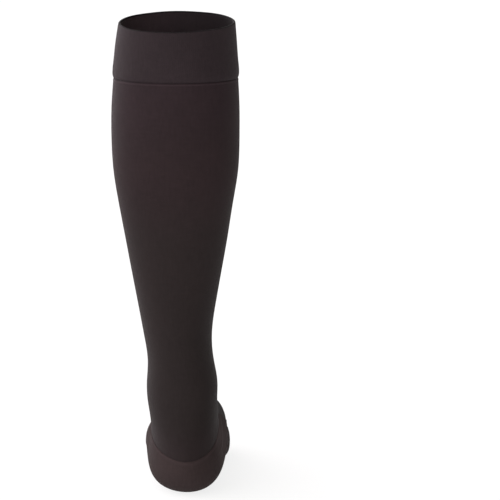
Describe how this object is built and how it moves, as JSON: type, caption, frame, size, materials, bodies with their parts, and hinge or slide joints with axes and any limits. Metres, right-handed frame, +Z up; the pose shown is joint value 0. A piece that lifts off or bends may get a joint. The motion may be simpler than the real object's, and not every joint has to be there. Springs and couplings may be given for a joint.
{
  "type": "compression stocking",
  "caption": "Knee-high closed-toe compression stocking in dark knit, filled out as worn on a left leg, with a turned-over top band and a reinforced heel, sole and toe.",
  "frame": {"origin": "middle of the leg opening at the top edge, where the leg holds the stocking up", "axes": "+Z up out of the leg opening, +Y forward to the toes, +X to the big-toe (inner) side of this left-leg stocking"},
  "size_m": [0.1138, 0.2565, 0.4263],
  "materials": {
    "band_knit": "double turned-over knit, fine vertical rib, soft sheen at the edges",
    "leg_knit": "dense fine plain knit in warm brownish black, soft sheen at the edges",
    "sole_knit": "reinforced knit, a little paler, more matt and coarser than the leg"
  },
  "bodies": {
    "root": {"top_band": "band_knit", "leg_tube": "leg_knit", "heel_sole": "sole_knit"}
  },
  "joints": []
}
